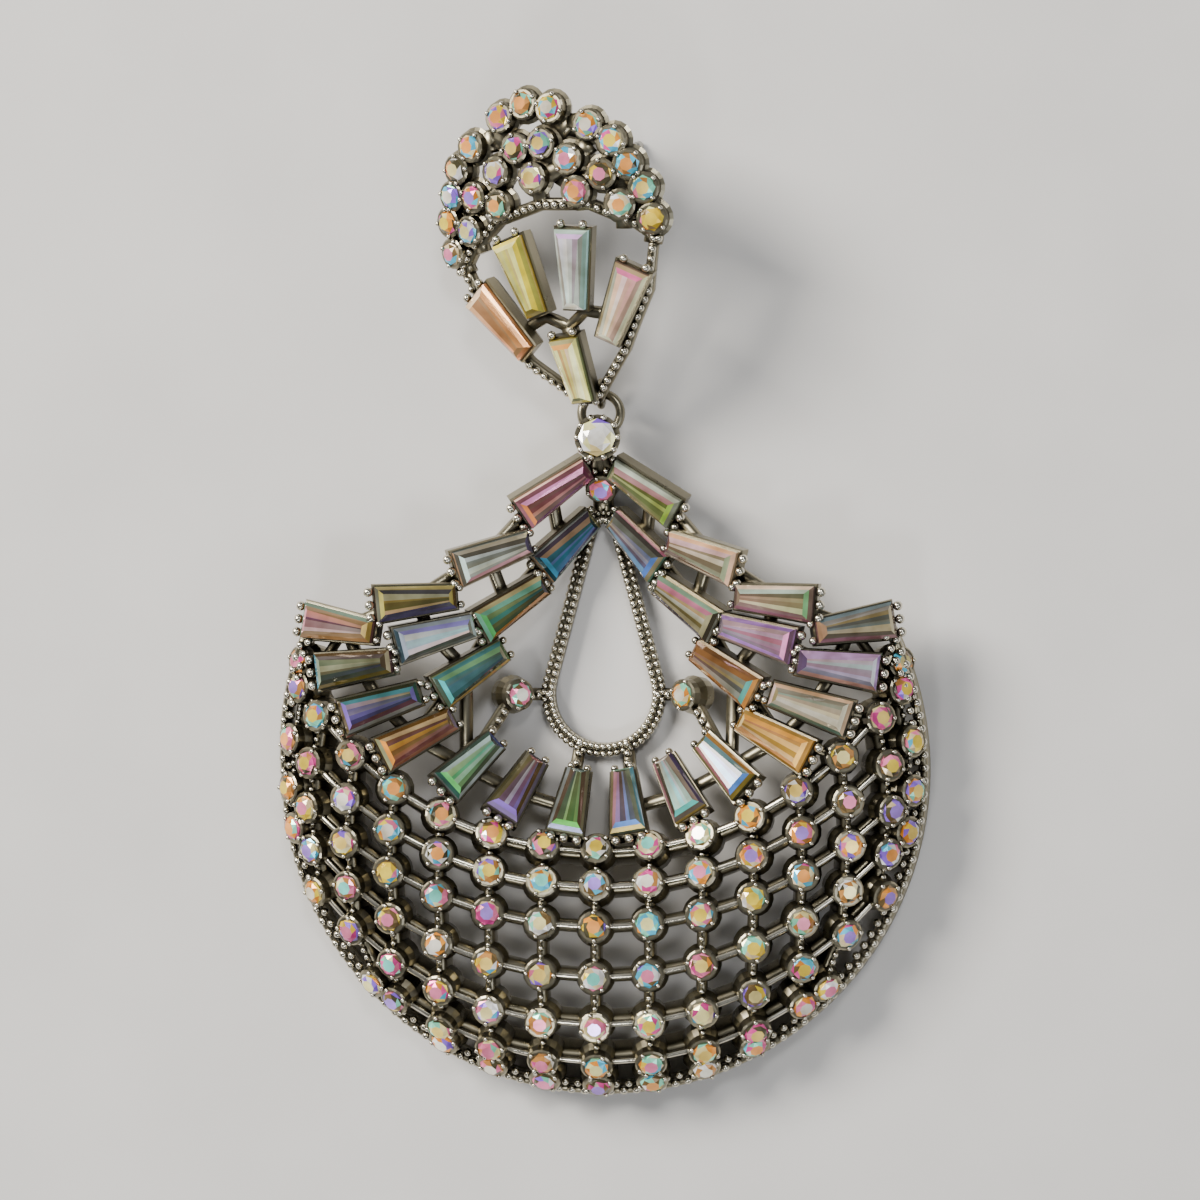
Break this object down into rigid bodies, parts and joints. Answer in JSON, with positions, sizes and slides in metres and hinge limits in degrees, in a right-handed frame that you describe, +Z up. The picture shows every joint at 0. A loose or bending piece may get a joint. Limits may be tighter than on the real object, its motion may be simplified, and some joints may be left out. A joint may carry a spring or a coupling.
{
  "type": "chandelier earring",
  "caption": "Chandelier earring lying face up: fan-shaped baguette stud on a post, a jump ring and a domed openwork crescent drop set with stones round a teardrop window.",
  "frame": {"origin": "centre of the bounding box in plan, on the surface the earring lies on", "axes": "+Y along the earring from the drop towards the stud, +Z up off the surface and out of the decorated face, +X to the right seen from above with the stud at the top"},
  "size_m": [0.0554, 0.0838, 0.0137],
  "materials": {
    "plated_cast_metal": "satin",
    "post_steel": "satin",
    "crystal": "gloss"
  },
  "bodies": {
    "root": {"drop_frame": "plated_cast_metal", "stud_frame": "plated_cast_metal", "ear_post": "post_steel", "jump_ring": "plated_cast_metal", "link_stone": "crystal", "drop_baguette_left_1a": "crystal", "drop_baguette_left_1b": "crystal", "drop_baguette_left_2a": "crystal", "drop_baguette_left_2b": "crystal", "drop_baguette_left_3a": "crystal", "drop_baguette_left_3b": "crystal", "drop_baguette_left_3c": "crystal", "drop_baguette_left_4a": "crystal", "drop_baguette_left_4b": "crystal", "drop_baguette_left_4c": "crystal", "drop_baguette_left_4d": "crystal", "drop_baguette_left_5a": "crystal", "drop_baguette_left_5b": "crystal", "drop_baguette_left_5c": "crystal", "drop_baguette_right_1a": "crystal", "drop_baguette_right_1b": "crystal", "drop_baguette_right_2a": "crystal", "drop_baguette_right_2b": "crystal", "drop_baguette_right_3a": "crystal", "drop_baguette_right_3b": "crystal", "drop_baguette_right_3c": "crystal", "drop_baguette_right_4a": "crystal", "drop_baguette_right_4b": "crystal", "drop_baguette_right_4c": "crystal", "drop_baguette_right_4d": "crystal", "drop_baguette_right_5a": "crystal", "drop_baguette_right_5b": "crystal", "drop_baguette_right_5c": "crystal", "stud_baguette_left_inner": "crystal", "stud_baguette_left_outer": "crystal", "stud_baguette_right_inner": "crystal", "stud_baguette_right_outer": "crystal", "stud_baguette_tip": "crystal"}
  },
  "joints": []
}
